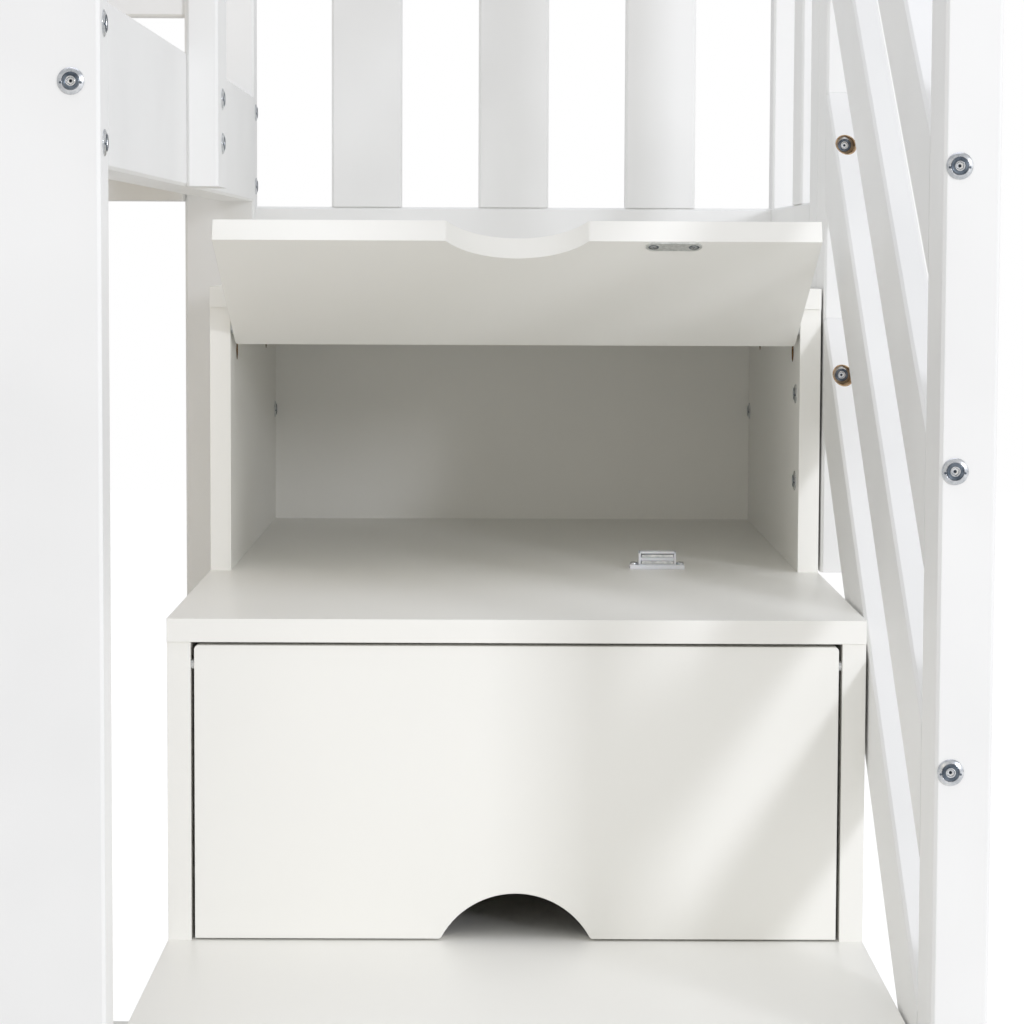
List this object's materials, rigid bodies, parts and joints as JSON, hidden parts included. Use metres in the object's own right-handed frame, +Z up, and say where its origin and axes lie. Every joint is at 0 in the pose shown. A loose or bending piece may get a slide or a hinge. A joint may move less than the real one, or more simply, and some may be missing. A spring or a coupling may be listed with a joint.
{
  "type": "bunk bed",
  "caption": "Low white bunk bed with box stairs at one end whose steps hold storage behind pivoting flaps, and a slatted handrail.",
  "frame": {"origin": "centre of the footprint, on the floor", "axes": "+X along the bed towards the stairs, +Y from the front towards the rear, +Z up"},
  "size_m": [2.507, 1.358, 1.395],
  "materials": {
    "white_wood": "satin white paint on solid wood",
    "white_panel": "satin white lacquer on fibreboard",
    "pine": "planed",
    "zinc_steel": "zinc plated",
    "white_plastic": "moulded"
  },
  "bodies": {
    "frame": {"barrel_nuts": "zinc_steel", "base_board": "white_panel", "cam_fittings": "zinc_steel", "catch_bodies": "white_plastic", "catch_steel_bars": "zinc_steel", "entry_upright": "white_wood", "frame_bolts": "zinc_steel", "guard_boards_far_end": "white_wood", "guard_boards_front": "white_wood", "guard_boards_rear": "white_wood", "guard_boards_stair_end": "white_wood", "handrail_front_post": "white_wood", "handrail_rear_stiles": "white_wood", "handrail_slat_1": "white_wood", "handrail_slat_2": "white_wood", "handrail_slat_3": "white_wood", "handrail_slat_4": "white_wood", "landing_bottom_rails": "white_wood", "landing_corner_post": "white_wood", "landing_guard_slats": "white_wood", "landing_top_rails": "white_wood", "lower_bed_slats": "pine", "lower_end_rail_far_end": "white_wood", "lower_end_rail_stair_end": "white_wood", "lower_side_rail_front": "white_wood", "lower_side_rail_rear": "white_wood", "lower_slat_ledge_front": "white_wood", "lower_slat_ledge_rear": "white_wood", "post_front_far_end": "white_wood", "post_front_stair_end": "white_wood", "post_rear_far_end": "white_wood", "post_rear_stair_end": "white_wood", "step_1_sides": "white_panel", "step_1_tread": "white_panel", "step_2_sides": "white_panel", "step_2_tread": "white_panel", "step_3_sides": "white_panel", "step_3_tread": "white_panel", "step_4_sides": "white_panel", "step_4_tread": "white_panel", "step_backs": "white_panel", "upper_bed_slats": "pine", "upper_end_rail_far_end": "white_wood", "upper_end_rail_stair_end": "white_wood", "upper_side_rail_front": "white_wood", "upper_side_rail_rear": "white_wood", "upper_slat_ledge_front": "white_wood", "upper_slat_ledge_rear": "white_wood"},
    "flap_1": {"flap_1": "white_panel", "flap_1_pins": "zinc_steel", "flap_1_strike_plate": "zinc_steel"},
    "flap_2": {"flap_2": "white_panel", "flap_2_pins": "zinc_steel", "flap_2_strike_plate": "zinc_steel"},
    "flap_3": {"flap_3": "white_panel", "flap_3_pins": "zinc_steel", "flap_3_strike_plate": "zinc_steel"},
    "flap_4": {"flap_4": "white_panel", "flap_4_pins": "zinc_steel", "flap_4_strike_plate": "zinc_steel"}
  },
  "joints": [
    {"name": "flap_1_hinge", "type": "hinge", "parent": "frame", "child": "flap_1", "pos_m": [0.9805, -0.669, 0.1896], "axis": [-1, 0, 0], "range_deg": [0, 118.5]},
    {"name": "flap_2_hinge", "type": "hinge", "parent": "frame", "child": "flap_2", "pos_m": [0.9805, -0.373, 0.4116], "axis": [-1, 0, 0], "range_deg": [0, 118.5]},
    {"name": "flap_3_hinge", "type": "hinge", "parent": "frame", "child": "flap_3", "pos_m": [0.9805, -0.077, 0.6336], "axis": [-1, 0, 0], "range_deg": [0, 118.5]},
    {"name": "flap_4_hinge", "type": "hinge", "parent": "frame", "child": "flap_4", "pos_m": [0.9805, 0.219, 0.8556], "axis": [-1, 0, 0], "range_deg": [-113.5, 5]}
  ]
}
